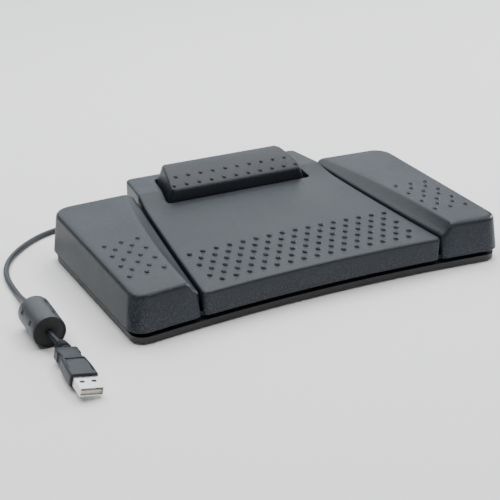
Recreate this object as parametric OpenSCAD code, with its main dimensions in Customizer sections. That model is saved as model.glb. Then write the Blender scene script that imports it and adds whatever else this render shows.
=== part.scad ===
// Four-pedal foot control for a dictation and transcription desk.
// Origin: centre of the object's box, on the floor.
// +X to the user's right, +Y away from the user, +Z up.  Millimetres.

/* [Body] */
// Half width over the side pedals at their lower front corners
half_w = 120.4; // [117:0.2:124]
// Front edge at the middle, distance in front of the origin
front_y = 70; // [66:0.5:72]
// Rear edge of the centre pedal, distance behind the origin
rear_y = 76.3; // [75:0.1:78]
// Radius of the arc that the front edge and the rows follow
arc_r = 970; // [800:10:1400]
// Height of the rubber feet below the base
foot_h = 1; // [0.6:0.1:1.4]
// Top of the base plate above the floor
base_top = 4.5; // [4:0.1:5]

/* [Pedals] */
// Lower edge of the pedal skirts above the floor
skirt_z = 7; // [6.8:0.1:7.6]
// Wall thickness of the pedals
wall = 2.6; // [2:0.1:3]
// Height of the side pedals' top plane at the origin
side_top = 30.4; // [29:0.2:32]
// Rise of the side pedals' top plane per millimetre of depth
side_rise = 0.029; // [0.02:0.001:0.04]
// Half width of the centre pedal at its front
centre_half_w = 77.4; // [76:0.2:78]
// Narrowing of the centre pedal's half width per millimetre of depth
centre_taper = 0.109; // [0.09:0.001:0.12]
// Gap between the centre pedal and each side pedal
pedal_gap = 1.7; // [1.4:0.1:2]
// Height of the flat deck behind the centre pedal's ramp
deck_z = 32.5; // [32:0.1:33.5]
// Depth at which the ramp meets the deck
crease_y = 47; // [45:0.5:50]
// Half width of the rear pedal's top at its front
rear_half_w = 45.4; // [44:0.2:47]
// Height of the rear pedal's top rear edge
rear_top = 45; // [43:0.2:46]

/* [Pivots] */
// Radius of the pivot pins
pin_r = 2; // [1.6:0.1:2.5]
// Running clearance around the pins
pin_play = 0.05; // [0.03:0.01:0.08]
// Height of the three rear pivots
pivot_z = 12; // [11:0.5:13]
// Depth of the side pedals' pivots
side_pivot_y = 46; // [44:1:48]
// Depth of the centre pedal's pivots
centre_pivot_y = 66; // [65:0.5:68]
// Depth of the rear pedal's pivots
rear_pivot_y = 41; // [40:0.5:42]
// Height of the rear pedal's pivots
rear_pivot_z = 16; // [15:0.5:17]

/* [Lead] */
// Diameter of the lead
lead_d = 3.4; // [3:0.1:3.8]
// Where the lead leaves the back of the base, along X
lead_x = 40; // [40:1:40]

/* [Hidden] */
$fn = 40;

charcoal = [0.20, 0.215, 0.235];
black = [0.07, 0.07, 0.075];
steel = [0.70, 0.71, 0.72];
lead_grey = [0.26, 0.27, 0.29];
board_green = [0.10, 0.30, 0.18];
copper = [0.72, 0.45, 0.25];
bone = [0.85, 0.83, 0.78];

e = 0.01;                     // small overlap that keeps cuts clean
side_front_r = 9;             // plan radius of a side pedal's outer front corner
side_back_r = 13;             // and of its outer rear corner
side_back_y = 55;             // outer rear corner of a side pedal
side_draft = 2.2;             // how far the side pedals' walls lean in
side_round = 3;               // radius of their top edge
rim_top = 8;                  // top of the base's upright rim
inner_skirt_z = 11.2;         // lower edge of the walls along the two long gaps
slot_half_w = 50.8;           // opening for the rear pedal
slot_front_y = 34.3;
slot_back_y = 67.4;
slot_skirt_z = 21;            // lower edge of the skirt round the opening
slot_taper = 0.16;            // narrowing of its half width per millimetre of depth
rear_foot_w = 48.4;           // half width of the rear pedal's foot at its front
rear_top_taper = 0.117;       // narrowing of the rear pedal's top
ramp_y = 28;                  // where the centre pedal starts to rise to the deck
row1_y = -27;                 // first row of grip dots
row1_z = 23.6;                // centre pedal's height there
rear_front_y = 37.2;          // rear pedal's front face
rear_back_y = 61.2;           // and its back face
rear_front_z = 34.9;          // its front top edge
rear_low_z = 20.6;            // its lower edge
switch_l = 12.8;              // sub-miniature snap switch: length, width, height
switch_w = 6.4;
switch_h = 6.5;
switch_z = 6;                 // underside of the switch bodies
plunger_h = 1.2;              // plunger above the switch body
post_gap = 0.3;               // pedal post above the plunger
side_switch = [95, -14];
centre_switch_at = [0, 6];
rear_switch_at = [0, 55.5];
side_spring_at = [97, -46];
centre_spring_at = [52, -46];
rear_spring_at = [19.5, 56.5];
spring_wire = 1.2;
spring_d = 8;
centre_pivot_x = 55.2;
rear_pivot_x = 24;
lug_w = 2.6;                  // width of a pedal's pivot lug
ear_w = 2.4;                  // width of each bracket ear
ear_gap = 0.4;                // air between lug and ear
board_at = [34, 19];
board_size = [42, 26, 1.6];
board_z = 7.5;
lead_z = 6.6;                 // height of the lead where it leaves
lead_r = lead_d / 2;
floor_z = lead_r + 0.1;       // centre of the lead where it lies on the floor
coil_r = 19;                  // mean radius of the coil, and its turns
coil_at = [lead_x - coil_r - 3.5, 104];
coil_cols = 3;
coil_rows = 4;
turn_gap = 3.5;               // from the middle of one turn to the next
ferrite_r = 9.05;
ferrite_l = 27.4;
ferrite_at = [-157.7, -55];   // middle of the front face
ferrite_turn = -1.3;
plug_at = [-154.9, -63];      // where the plug's boot begins
plug_turn = -2.3;
plug_roll = 10;
plug_z = 4.9;
plug_w = 14.2;
plug_h = 7.4;
shell_w = 12;
shell_h = 4.5;
shell_l = 12;

// The lead from the coil to the ferrite cover, and on to the plug
lead_route = [
  [-5, 104, 12.3], [-5, 98, 11.4], [-7, 92, 9.8], [-12, 87.6, 8], [-18, 85.6, 6.4],
  [-26, 85, 4.6], [-36, 85.6, 2.8], [-48, 87.4, 1.8], [-60, 89.4, 1.8], [-72, 90.8, 1.8],
  [-84, 91, 1.8], [-96, 89.8, 1.8], [-108, 86.8, 1.8], [-118, 82.6, 1.8], [-127, 76.6, 1.8],
  [-135, 69.6, 1.8], [-142, 61.8, 1.8], [-147.4, 53.6, 1.8], [-151.2, 45, 1.8],
  [-153.6, 36, 1.8], [-154.8, 27, 1.8], [-155.2, 18, 1.8], [-155.4, 9, 2.2],
  [-155.8, 0, 3.6], [-156.2, -9, 5.8], [-156.6, -18, 8.1], [-157, -27, 9.05],
  [-157.3, -36, 9.05], [-157.5, -46, 9.05], [-157.6, -53, 8.9], [-157.1, -57.4, 7.9],
  [-156, -60.4, 6.4], [-155, -64, 5]
];
// The short stretch from the boot on the base to the coil
lead_start_route = [
  [lead_x, 87.4, lead_z], [lead_x, 90, 6.2], [lead_x, 93, 5.3], [lead_x, 96, 4.2],
  [lead_x, 99, 3.1], [lead_x, 102, 2.2], [lead_x, 104.5, floor_z]
];

// ---------- functions ----------
function unit(v) = v / norm(v);
function lerp(a, b, t) = a + (b - a) * t;
function bow(x) = x * x / (2 * arc_r);
function centre_x(y) = centre_half_w - centre_taper * (y + front_y);
function side_x(y) = centre_x(y) + pedal_gap;
function side_z(y) = side_top + side_rise * y;
function plane_z(y) = row1_z + 0.0683 * (y - row1_y) + 0.00022 * pow(y - row1_y, 2);
ramp_slope = 0.0683 + 0.00044 * (ramp_y - row1_y);
ramp_run = crease_y - ramp_y;
ramp_curve = (deck_z - plane_z(ramp_y) - ramp_slope * ramp_run) / pow(ramp_run, 2);
function ramp_z(y) = plane_z(ramp_y) + ramp_slope * (y - ramp_y) + ramp_curve * pow(y - ramp_y, 2);
// inner crease of a side pedal's top
function crease_x(y) = let (t = y + 71) 86 - 0.019 * t - 0.00086 * t * t;

// points of an arc that rounds corner p between neighbours a and b
function corner(a, p, b, r, n) =
  r <= 0 ? [p] :
  let (
    u = unit(a - p), v = unit(b - p), half = acos(u * v) / 2,
    c = p + unit(u + v) * r / sin(half),
    s = p + u * r / tan(half) - c, f = p + v * r / tan(half) - c,
    turn = atan2(s[0] * f[1] - s[1] * f[0], s * f)
  )
  [for (i = [0:n]) let (w = turn * i / n)
    c + [cos(w) * s[0] - sin(w) * s[1], sin(w) * s[0] + cos(w) * s[1]]];
// outline from corners [x, y, radius]
function rounded(pts, n = 8) =
  let (m = len(pts), q = [for (p = pts) [p[0], p[1]]])
  [for (i = [0:m - 1]) each corner(q[(i + m - 1) % m], q[i], q[(i + 1) % m], pts[i][2], n)];
// right half [x, y, radius] and its mirror image, as one outline
function both_halves(h) =
  concat(h, [for (i = [len(h) - 1:-1:0]) if (h[i][0] > 0) [-h[i][0], h[i][1], h[i][2]]]);

function base_half(i) = concat(
  [for (x = [0, 25, 50, 75, 95]) [x, -front_y + 0.6 - bow(x) + i, 0]],
  [[half_w - 1.8 - i, -front_y + 0.6 - bow(half_w - 1.8) + i, 8 - i / 2]],
  [[half_w - 0.8 - i, side_back_y - 1 - i, 12 - i]],
  [[centre_x(side_back_y) - 1 - i, side_back_y + 1.4 - i, 3 + i / 2]],
  [[centre_x(rear_y) - 1 - i, rear_y - 0.8 - i, 5 - i / 2]]
);
function centre_half(i) = concat(
  [for (x = [0, 25, 50]) [x, -front_y - bow(x) + i, 0]],
  [[centre_x(-front_y - 3) - i, -front_y - bow(centre_half_w) + i, 3]],
  [[centre_x(rear_y) - i, rear_y - i, 4]]
);
function side_corners(i, gap_i) = [
  [side_x(-front_y - 3.2) + gap_i, -front_y - bow(79) + i, 2.5],
  [92, -front_y - bow(92) + i, 0],
  [104, -front_y - bow(104) + i, 0],
  [half_w - i, -front_y - bow(half_w) + i, side_front_r - i / 2],
  [half_w + 1 - i, side_back_y - i, side_back_r - i / 2],
  [side_x(side_back_y + 2.5) + gap_i, side_back_y + 2.5 - i, 4]
];

// ---------- shape modules ----------
// closed skin through rings with equal numbers of points
module skin(rings) {
  n = len(rings[0]);
  m = len(rings);
  pts = [for (r = rings) each r];
  sides = [for (k = [0:m - 2], i = [0:n - 1], h = [0, 1])
    let (a = k * n + i, b = k * n + (i + 1) % n, c = a + n, d = b + n)
    h == 0 ? [a, c, b] : [b, c, d]];
  polyhedron(pts, concat([[for (i = [0:n - 1]) i]], sides,
    [[for (i = [n - 1:-1:0]) (m - 1) * n + i]]), convexity = 6);
}

// round tube along a route of points
module tube(route, r, sides) {
  n = len(route);
  rings = [for (k = [0:n - 1])
    let (
      t = unit(route[min(k + 1, n - 1)] - route[max(k - 1, 0)]),
      u = unit(cross(t, abs(t[2]) > 0.9 ? [1, 0, 0] : [0, 0, 1])), v = cross(t, u)
    )
    [for (i = [0:sides - 1]) route[k] + r * (cos(360 * i / sides) * u + sin(360 * i / sides) * v)]];
  skin(rings);
}

// compression spring standing on z = 0
module coil_spring(h, turns) {
  steps = 10 * turns;
  r = (spring_d - spring_wire) / 2;
  tube([for (k = [0:steps]) let (w = 360 * k / 10)
    [r * cos(w), r * sin(w), spring_wire / 2 + (h - spring_wire) * k / steps]], spring_wire / 2, 6);
}

module bar_along_x(y, z, r, x0, x1) {
  translate([x0, y, z]) rotate([0, 90, 0]) cylinder(h = x1 - x0, r = r);
}

// plate of constant thickness along X with an outline in Y and Z
module slab_x(pts, x0, x1) {
  translate([x0, 0, 0]) rotate([90, 0, 90]) linear_extrude(x1 - x0) polygon(pts);
}

// pair of upright ears with a pin hole, on the base
module ears(x, y, z) {
  half = lug_w / 2 + ear_gap;
  for (s = [-1, 1]) {
    x0 = x + (s > 0 ? half : -half - ear_w);
    difference() {
      slab_x([[y - 5, base_top - e], [y + 3.6, base_top - e], [y + 3.4, z + 1.5],
        [y + 2.4, z + 3.4], [y - 2.4, z + 3.4], [y - 3.8, z + 1.5]], x0, x0 + ear_w);
      bar_along_x(y, z, pin_r, x0 - 1, x0 + ear_w + 1);
    }
  }
}

module pin(x, y, z) {
  half = lug_w / 2 + ear_gap + ear_w;
  bar_along_x(y, z, pin_r, x - half, x + half);
}

// lug below a pedal, from its ceiling down round the pin
module lug(x, y, z, top, extra = 0) {
  difference() {
    slab_x([[y - 5 - extra, top], [y - 3.2, z - 1.6], [y - 1.8, z - 3.2], [y + 1.8, z - 3.2],
      [y + 3.2, z - 1.6], [y + 5, top]], x - lug_w / 2, x + lug_w / 2);
    bar_along_x(y, z, pin_r + pin_play, x - lug_w, x + lug_w);
  }
}

// ---------- base ----------
module base_rim() {
  difference() {
    translate([0, 0, base_top - e])
      linear_extrude(rim_top - base_top + e) polygon(rounded(both_halves(base_half(4.4))));
    translate([0, 0, base_top - 1])
      linear_extrude(rim_top) polygon(rounded(both_halves(base_half(6.4))));
    // the rim makes room for the grommet
    translate([lead_x - 5.4, rear_y - 12, base_top]) cube([10.8, 12, 6]);
  }
}

foot_spots = [[-104, -62], [104, -62], [-106, 42], [106, 42], [-52, 67], [52, 67], [0, -58]];

module base_pan() {
  color(black) difference() {
    union() {
      translate([0, 0, foot_h])
        linear_extrude(base_top - foot_h) polygon(rounded(both_halves(base_half(0))));
      base_rim();
      for (s = [-1, 1]) {
        ears(s * 93, side_pivot_y, pivot_z);
        ears(s * centre_pivot_x, centre_pivot_y, pivot_z);
        ears(s * rear_pivot_x, rear_pivot_y, rear_pivot_z);
        switch_stand(s * side_switch[0], side_switch[1]);
        // spring seats
        spring_seat(s * side_spring_at[0], side_spring_at[1]);
        spring_seat(s * rear_spring_at[0], rear_spring_at[1]);
      }
      switch_stand(centre_switch_at[0], centre_switch_at[1]);
      switch_stand(rear_switch_at[0], rear_switch_at[1]);
      for (sx = [-1, 1], sy = [-1, 1])
        translate([board_at[0] + sx * 17, board_at[1] + sy * 9.5, base_top - e])
          cylinder(h = board_z - base_top + e, r = 3);
      for (s = [-1, 1])
        translate([lead_x + s * 5.6, 56, base_top - e]) cylinder(h = 1.2, r = 2.8);
    }
    for (p = foot_spots)
      translate([p[0], p[1], foot_h - 1]) cylinder(h = 1.8, r = 6.3);
    for (p = ballast_holes)
      translate([p[0], p[1], base_top - 2.2]) cylinder(h = 3, r = 1.2);
    for (sx = [-1, 1])
      translate([board_at[0] + sx * 17, board_at[1] + sx * 9.5, base_top - 1]) cylinder(h = 6, r = 0.9);
    for (s = [-1, 1])
      translate([lead_x + s * 5.6, 56, base_top - 1.5]) cylinder(h = 4, r = 0.9);
    // trough that the grommet lies in
    translate([lead_x, rear_y - 9, lead_z]) rotate([-90, 0, 0]) cylinder(h = 12, r = 3.6);
    translate([lead_x, rear_y - 7.7, lead_z]) rotate([-90, 0, 0]) cylinder(h = 1.8, r = 4.7);
    translate([lead_x, rear_y - 1.3, lead_z]) rotate([-90, 0, 0]) cylinder(h = 3, r = 4.5);
  }
}

module spring_seat(x, y) {
  translate([x, y, base_top - e]) cylinder(h = 2.5, r = 2.5);
}

module switch_stand(x, y) {
  translate([x - 9, y - 3.6, base_top - e]) cube([18, 7.2, switch_z - base_top + e]);
  for (s = [-1, 1])
    translate([x + s * 8.1, y - 2, base_top - e]) difference() {
      translate([-0.9, 0, 0]) cube([1.8, 4, 5]);
    }
}

module rubber_feet() {
  color([0.05, 0.05, 0.05]) for (p = foot_spots)
    translate([p[0], p[1], 0]) {
      cylinder(h = 1.8, r = 6);
    }
}

ballast_holes = [[-62, -48], [62, -48], [-62, -15], [62, -15]];
ballast_t = 3;

module ballast_plate() {
  color(steel) difference() {
    translate([0, 0, base_top])
      linear_extrude(ballast_t) polygon(rounded([
        [-69, -54, 3], [69, -54, 3], [69, -8, 3], [-69, -8, 3]]));
    for (p = ballast_holes)
      translate([p[0], p[1], 0]) cylinder(h = 20, r = 1.7);
  }
}

module pan_screw(x, y, z, r, depth) {
  translate([x, y, z]) difference() {
    union() {
      rotate_extrude() polygon([[0, 0], [2 * r, 0], [2 * r, 0.9 * r], [1.5 * r, 1.4 * r], [0, 1.5 * r]]);
      translate([0, 0, -depth]) cylinder(h = depth + e, r = r);
    }
    for (w = [0, 90]) rotate([0, 0, w]) translate([-r, -0.25, 0.9 * r]) cube([2 * r, 0.5, 3]);
  }
}

module ballast_screws() {
  color(steel) for (p = ballast_holes) pan_screw(p[0], p[1], base_top + ballast_t, 1.15, ballast_t + 2);
}

stop_spots = [[-98, -58], [98, -58], [-30, -59], [30, -59]];
stop_post_z = 10.3;

module bump_stops() {
  color([0.05, 0.05, 0.05]) for (p = stop_spots)
    translate([p[0], p[1], base_top]) cylinder(h = 3.4, r1 = 4, r2 = 3.4);
}

// ---------- side pedals ----------
function ring(pts, i, z0, flat) = [for (p = pts) [p[0], p[1], flat ? z0 : side_z(p[1]) + z0]];

module side_solid(i, low_z, drop) {
  shoulder = side_draft + i;
  top_r = max(side_round - i / 2, 0.8);
  skin(concat(
    [ring(rounded(side_corners(i, i), 7), 0, low_z, true)],
    [for (w = [0, 30, 60, 90])
      let (in = shoulder + top_r * (1 - cos(w)))
      ring(rounded(side_corners(in, i + 0.3 + top_r * 0.5 * (1 - cos(w))), 7), 0,
        -drop - top_r * (1 - sin(w)), false)]
  ));
}

// wedge above the bevel that faces the centre pedal
module bevel_cutter(shift_x, shift_z) {
  stations = [-80, -60, -40, -20, 0, 20, 40, 56, 66];
  skin([for (y = stations)
    let (
      lo = [side_x(y), plane_z(y) - 0.4], hi = [crease_x(y), side_z(y)],
      d = hi - lo, a = lo - 0.8 * d, b = hi + 0.6 * d
    )
    [[a[0] + shift_x, y, 60], [b[0] + shift_x, y, 60],
     [b[0] + shift_x, y, b[1] + shift_z], [a[0] + shift_x, y, a[1] + shift_z]]]);
}

module side_pedal() {
  post_z = switch_z + switch_h + plunger_h + post_gap;
  difference() {
    side_solid(0, skirt_z, 0);
    bevel_cutter(0, 0);
    difference() {
      side_solid(wall, skirt_z - 1, wall);
      bevel_cutter(1.4, -wall - 0.4);
    }
    // the wall along the gap stops above the base's rim
    translate([0, 0, skirt_z - 1]) linear_extrude(inner_skirt_z - skirt_z + 1) polygon([
      [60, -70.2], [90, -70.2], [78, 56], [71, 70], [60, 70]]);
  }
  lug(93, side_pivot_y, pivot_z, side_z(side_pivot_y) - wall + 0.4, 4);
  translate([side_switch[0], side_switch[1], post_z])
    cylinder(h = side_z(side_switch[1]) - wall - post_z + 0.6, r = 2.6);
  translate([side_spring_at[0], side_spring_at[1], 20])
    cylinder(h = side_z(side_spring_at[1]) - wall - 20 + 0.6, r = 5.4);
  translate([stop_spots[1][0], stop_spots[1][1], stop_post_z])
    cylinder(h = side_z(stop_spots[1][1]) - wall - stop_post_z + 0.6, r = 2.4);
}

module left_pedal() {
  color(charcoal) mirror([1, 0, 0]) side_pedal();
}

module right_pedal() {
  color(charcoal) side_pedal();
}

// ---------- centre pedal ----------
function top_line(drop, y0, y1) = concat(
  [for (y = [y0, -50, -30, -10, 10, ramp_y]) [y, plane_z(y) - drop]],
  [for (k = [1:7]) let (y = lerp(ramp_y, crease_y, k / 7)) [y, ramp_z(y) - drop]],
  [[y1, deck_z - drop]]
);

module centre_block(i, low_z, drop) {
  intersection() {
    translate([0, 0, low_z]) linear_extrude(60) polygon(rounded(both_halves(centre_half(i)), 5));
    slab_x(concat([[-80, low_z]], top_line(drop, -80, 80), [[80, low_z]]), -90, 90);
  }
}

module centre_pedal() {
  post_z = switch_z + switch_h + plunger_h + post_gap;
  color(charcoal) {
    difference() {
      centre_block(0, skirt_z, 0);
      centre_block(wall, skirt_z - 1, wall);
      // walls along the gaps stop above the base's rim
      for (s = [-1, 1]) translate([0, 0, skirt_z - 1])
        linear_extrude(inner_skirt_z - skirt_z + 1) polygon([
          [s * 69, -69.5], [s * 80, -69.5], [s * 66, 58], [s * 58, 58]]);
      translate([0, 0, 10]) linear_extrude(40) slot_outline(0.2);
      // notch for the lead's grommet
      translate([lead_x - 6.2, rear_y - 12, 0]) cube([12.4, 20, 12.6]);
    }
    // skirt round the opening for the rear pedal
    intersection() {
      difference() {
        translate([0, 0, slot_skirt_z]) linear_extrude(20) slot_outline(1.6);
        linear_extrude(60) slot_outline(0);
      }
      slab_x(concat([[-80, 0]], top_line(0, -80, 80), [[80, 0]]), -90, 90);
    }
    for (s = [-1, 1]) {
      lug(s * centre_pivot_x, centre_pivot_y, pivot_z, deck_z - wall + 0.4);
      centre_post(s * centre_spring_at[0], centre_spring_at[1], 16.4, 5.2);
      centre_post(s * stop_spots[3][0], stop_spots[3][1], stop_post_z, 2.4);
    }
    centre_post(centre_switch_at[0], centre_switch_at[1], post_z, 2.6);
  }
}

module slot_outline(grow) {
  a = slot_half_w + grow;
  b = a - slot_taper * (slot_back_y - slot_front_y);
  polygon(rounded([[-a, slot_front_y - grow, 2], [a, slot_front_y - grow, 2],
    [b, slot_back_y + grow, 2], [-b, slot_back_y + grow, 2]], 5));
}

module centre_post(x, y, z, r) {
  translate([x, y, z]) cylinder(h = plane_z(y) - wall + 0.6 - z, r = r);
}

// ---------- rear pedal ----------
rear_slope = 0.457;
function rear_profile(i) =
  let (back_z = rear_front_z + rear_slope * (rear_back_y - rear_front_y))
  rounded([
    [rear_front_y - 0.6 + i, rear_low_z - (i > 0 ? 1 : 0), 0],
    [rear_front_y + i, rear_front_z - i, max(1.6 - i, 0.3)],
    [rear_back_y - i, back_z - 1.1 * i, max(3.4 - i, 0.8)],
    [rear_back_y + 1.2 - i, rear_low_z - (i > 0 ? 1 : 0), 0]], 5);

// outline of the rear pedal, w wide at its front, at height z plus rise times the depth
function rear_ring(i, w, taper, z, rise) =
  let (a = w - i, b = a - taper * (rear_back_y - rear_front_y))
  [for (p = rounded([[-a, rear_front_y - 1 + i, 4], [a, rear_front_y - 1 + i, 4],
      [b, rear_back_y + 1.6 - i, 5], [-b, rear_back_y + 1.6 - i, 5]], 5))
    [p[0], p[1], z + rise * (p[1] - rear_front_y)]];

// its ends lean in from the foot to the top
module rear_block(i) {
  intersection() {
    slab_x(rear_profile(i), -rear_foot_w - 3, rear_foot_w + 3);
    skin([
      rear_ring(i, rear_foot_w, slot_taper, 12, 0),
      rear_ring(i, rear_foot_w, slot_taper, 26.5, 0.229),
      rear_ring(i, rear_half_w, rear_top_taper, rear_front_z + 0.6, rear_slope),
      rear_ring(i, rear_half_w, rear_top_taper, 60, 0)]);
  }
}

module rear_pedal() {
  post_z = switch_z + switch_h + plunger_h + post_gap;
  color(charcoal) {
    difference() {
      rear_block(0);
      rear_block(wall);
    }
    for (s = [-1, 1]) {
      rear_lug(s * rear_pivot_x);
      rear_post(s * rear_spring_at[0], rear_spring_at[1], 19.4, 5.2);
    }
    rear_post(rear_switch_at[0], rear_switch_at[1], post_z, 1.6);
  }
}

module rear_lug(x) {
  y = rear_pivot_y;
  z = rear_pivot_z;
  difference() {
    slab_x([[y - 3.4, z - 1.6], [y - 1.8, z - 3.2], [y + 1.8, z - 3.2], [y + 3.4, z - 1.6],
      [y + 12, 39], [y - 0.9, 34]], x - lug_w / 2, x + lug_w / 2);
    bar_along_x(y, z, pin_r + pin_play, x - lug_w, x + lug_w);
  }
}

module rear_post(x, y, z, r) {
  top = rear_front_z + rear_slope * (y - rear_front_y) - wall - r * rear_slope;
  translate([x, y, z]) cylinder(h = top + 1 - z, r = r);
}

// ---------- pivots, springs, switches ----------
module left_pivot_pin() {
  color(steel) pin(-93, side_pivot_y, pivot_z);
}

module right_pivot_pin() {
  color(steel) pin(93, side_pivot_y, pivot_z);
}

module centre_pivot_pins() {
  color(steel) for (s = [-1, 1]) pin(s * centre_pivot_x, centre_pivot_y, pivot_z);
}

module rear_pivot_pins() {
  color(steel) for (s = [-1, 1]) pin(s * rear_pivot_x, rear_pivot_y, rear_pivot_z);
}

module left_spring() {
  color(steel) translate([-side_spring_at[0], side_spring_at[1], base_top]) coil_spring(15.3, 7);
}

module right_spring() {
  color(steel) translate([side_spring_at[0], side_spring_at[1], base_top]) coil_spring(15.3, 7);
}

module centre_springs() {
  color(steel) for (s = [-1, 1])
    translate([s * centre_spring_at[0], centre_spring_at[1], base_top + ballast_t])
      coil_spring(8.7, 5);
}

module rear_springs() {
  color(steel) for (s = [-1, 1])
    translate([s * rear_spring_at[0], rear_spring_at[1], base_top]) coil_spring(14.7, 7);
}

module switch_body(x, y) {
  color(black) translate([x, y, switch_z]) difference() {
    union() {
      translate([-switch_l / 2, -switch_w / 2, 0]) cube([switch_l, switch_w, switch_h - 0.8]);
      translate([-switch_l / 2 + 1.2, -switch_w / 2 + 0.4, switch_h - 1])
        cube([switch_l - 2.4, switch_w - 0.8, 1]);
    }
    for (s = [-1, 1]) translate([s * 3.25, -5, 2]) rotate([-90, 0, 0]) cylinder(h = 10, r = 1);
    // well that the plunger slides in
    translate([0, 0, 2]) cylinder(h = 10, r = 1.3);
  }
}

module left_switch() {
  switch_body(-side_switch[0], side_switch[1]);
}

module right_switch() {
  switch_body(side_switch[0], side_switch[1]);
}

module centre_switch() {
  switch_body(centre_switch_at[0], centre_switch_at[1]);
}

module rear_switch() {
  switch_body(rear_switch_at[0], rear_switch_at[1]);
}

module plunger(x, y) {
  color("firebrick") translate([x, y, switch_z + 3.6])
    cylinder(h = switch_h + plunger_h - 3.6, r = 1.2);
}

module left_plunger() {
  plunger(-side_switch[0], side_switch[1]);
}

module right_plunger() {
  plunger(side_switch[0], side_switch[1]);
}

module centre_plunger() {
  plunger(centre_switch_at[0], centre_switch_at[1]);
}

module rear_plunger() {
  plunger(rear_switch_at[0], rear_switch_at[1]);
}

switch_spots = [[-side_switch[0], side_switch[1]], side_switch, centre_switch_at, rear_switch_at];

module switch_terminals() {
  color(copper) for (p = switch_spots, k = [-1, 0, 1])
    translate([p[0] + k * 4 - 0.3, p[1] + switch_w / 2, switch_z + 0.8]) {
      cube([0.6, 2.4, 1.2]);
    }
}

// ---------- electronics ----------
module controller_board() {
  color(board_green) translate([board_at[0], board_at[1], board_z]) difference() {
    translate([-board_size[0] / 2, -board_size[1] / 2, 0]) cube(board_size);
    for (s = [-1, 1]) translate([s * 17, s * 9.5, -1]) cylinder(h = 5, r = 1.2);
  }
}

module controller_chip() {
  color(black) translate([board_at[0] - 3, board_at[1] + 1, board_z + board_size[2]]) {
    translate([-3.7, -2.7, 0.1]) cube([7.4, 5.4, 1.9]);
    for (k = [-3:3], s = [-1, 1])
      translate([k - 0.2, s > 0 ? 2.6 : -4, 0]) cube([0.4, 1.4, 0.5]);
  }
}

module board_parts() {
  top = board_z + board_size[2];
  color(copper) {
    for (k = [0:4]) translate([board_at[0] + 5 + 3 * k, board_at[1] - 9, top]) cube([1.6, 0.9, 0.6]);
    for (k = [0:2]) translate([board_at[0] - 16 + 3 * k, board_at[1] - 2, top]) cube([0.9, 1.6, 0.6]);
    translate([board_at[0] + 10, board_at[1] - 3, top]) cylinder(h = 3.4, r = 2);
  }
}

module crystal_can() {
  color(steel) translate([board_at[0] + 4.4, board_at[1] + 3, board_z + board_size[2]])
    linear_extrude(2.6) polygon(rounded([[0, -1.9, 1.8], [9, -1.9, 1.8], [9, 1.9, 1.8], [0, 1.9, 1.8]]));
}

module board_header() {
  color(bone) translate([board_at[0] + 6, board_at[1] + 8.8, board_z + board_size[2]])
    difference() {
      translate([-6, -2.6, 0]) cube([12, 5.2, 4]);
      for (k = [-1.5:1:1.5]) translate([k * 2 - 0.7, -1.6, 1]) cube([1.4, 3.2, 5]);
    }
}

module board_screws() {
  color(steel) for (s = [-1, 1])
    pan_screw(board_at[0] + s * 17, board_at[1] + s * 9.5, board_z + board_size[2], 0.9, 4.5);
}

module switch_wires() {
  z = board_z + board_size[2] + 0.6;
  // four pairs, each from the board's edge to the outer terminals of a switch
  color("darkred") {
    tube([[17, 14, z], [13.5, 14, z], [10, 13.4, 8], [6.5, 13, 7.4], [4, 12.6, 7.4],
      [4, 11.6, 7.4]], 0.45, 6);
    tube([[17, 15.2, z], [13.5, 15.2, z], [10, 15, 8], [6, 14.8, 7.4], [-3, 14.8, 7.4],
      [-4, 13.8, 7.4], [-4, 11.6, 7.4]], 0.45, 6);
    tube([[17, 22.2, z], [12, 23.2, z], [4, 27.1, 5.4], [-6, 34, 5.2], [-12, 44, 5.2],
      [-12, 60, 5.2], [-10, 63.4, 5.8], [-5, 64, 7], [-4, 63, 7.4], [-4, 61.1, 7.4]], 0.45, 6);
    tube([[17, 21, z], [12, 22, z], [3.4, 26.1, 5.4], [-7, 33.2, 5.2], [-13.2, 43.8, 5.2],
      [-13.2, 60.6, 5.2], [-10.6, 65, 5.8], [3, 65.2, 7], [4, 64, 7.4], [4, 61.1, 7.4]], 0.45, 6);
    for (k = [0, 1]) {
      o = 1.2 * k;
      tube([[17, 17.4 + o, z], [12, 17.6 + o, z], [2, 18 + o, 5.6], [-40, 20 + o, 5.2],
        [-80, 6 + o, 5.2], [-91 - 8 * k, -4, 6.6], [-91 - 8 * k, -8.4, 7.4]], 0.45, 6);
      tube([[51, 14 + o, z], [56, 14 + o, z], [62, 12 + o, 5.6], [80, 4 + o, 5.2],
        [91 + 8 * k, -4, 6.6], [91 + 8 * k, -8.4, 7.4]], 0.45, 6);
    }
  }
}

module inner_lead() {
  color(lead_grey) {
    translate([lead_x, 48, lead_z]) rotate([-90, 0, 0]) cylinder(h = 68 - 48, r = lead_r);
    for (k = [-1.5:1:1.5])
      tube([[lead_x + 0.8 * k, 48.3, lead_z], [lead_x + 0.8 * k, 46, lead_z],
        [lead_x + 1.6 * k, 40, lead_z + 2.4], [lead_x + 2 * k, 34, 12.8],
        [lead_x + 2 * k, 30.5, 14.4], [lead_x + 2 * k, 28.3, 14], [lead_x + 2 * k, 27.8, 11.6]],
        0.35, 6);
  }
}

module lead_clamp() {
  color(black) difference() {
    translate([lead_x - 8.6, 53, base_top + 1.2]) cube([17.2, 6, 5]);
    translate([lead_x, 50, lead_z]) rotate([-90, 0, 0]) cylinder(h = 12, r = lead_r);
    translate([lead_x - lead_r, 50, base_top]) cube([2 * lead_r, 12, lead_z - base_top]);
    for (s = [-1, 1]) translate([lead_x + s * 5.6, 56, 0]) cylinder(h = 20, r = 1.2);
  }
}

module clamp_screws() {
  color(steel) for (s = [-1, 1])
    pan_screw(lead_x + s * 5.6, 56, base_top + 6.2, 0.9, 7);
}

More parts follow.
